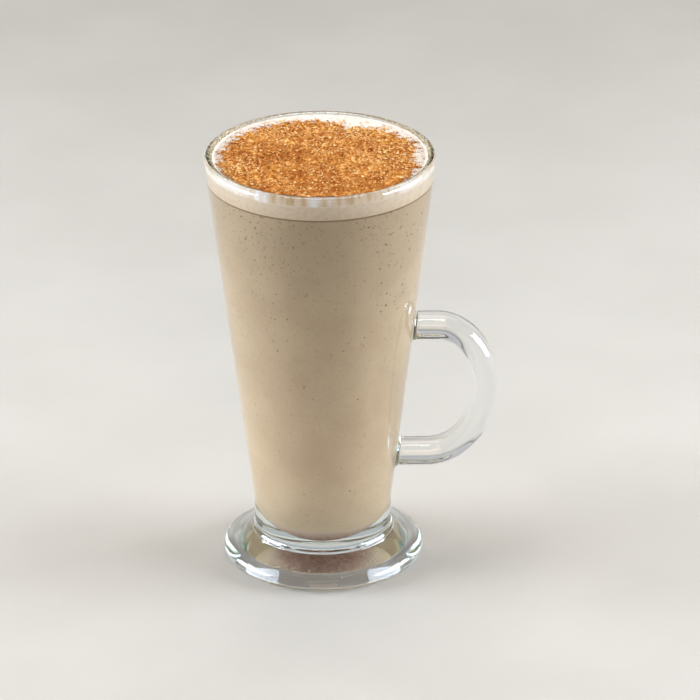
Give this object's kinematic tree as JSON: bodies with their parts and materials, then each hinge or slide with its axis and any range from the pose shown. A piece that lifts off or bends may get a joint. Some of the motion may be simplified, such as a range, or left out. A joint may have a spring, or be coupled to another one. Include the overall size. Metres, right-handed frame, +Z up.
{
  "type": "masala chai in a latte glass",
  "caption": "Milky spiced tea with a milk foam head and a cinnamon dusting, in a tall tapered clear glass with a round foot and a D-shaped handle.",
  "frame": {"origin": "on the body's axis, in the plane that the foot stands on", "axes": "+Z up along the glass's axis, +X towards the handle"},
  "size_m": [0.0988, 0.078, 0.148],
  "materials": {
    "glass": "clear pressed glass, fire-polished",
    "chai": "wet, opaque milky tea",
    "foam": "fine matte milk foam",
    "spice": "wet settled ground spice",
    "cinnamon": "dry ground cinnamon"
  },
  "bodies": {
    "root": {"latte_glass": "glass", "masala_chai": "chai", "milk_foam": "foam", "spice_sediment": "spice"}
  },
  "joints": []
}
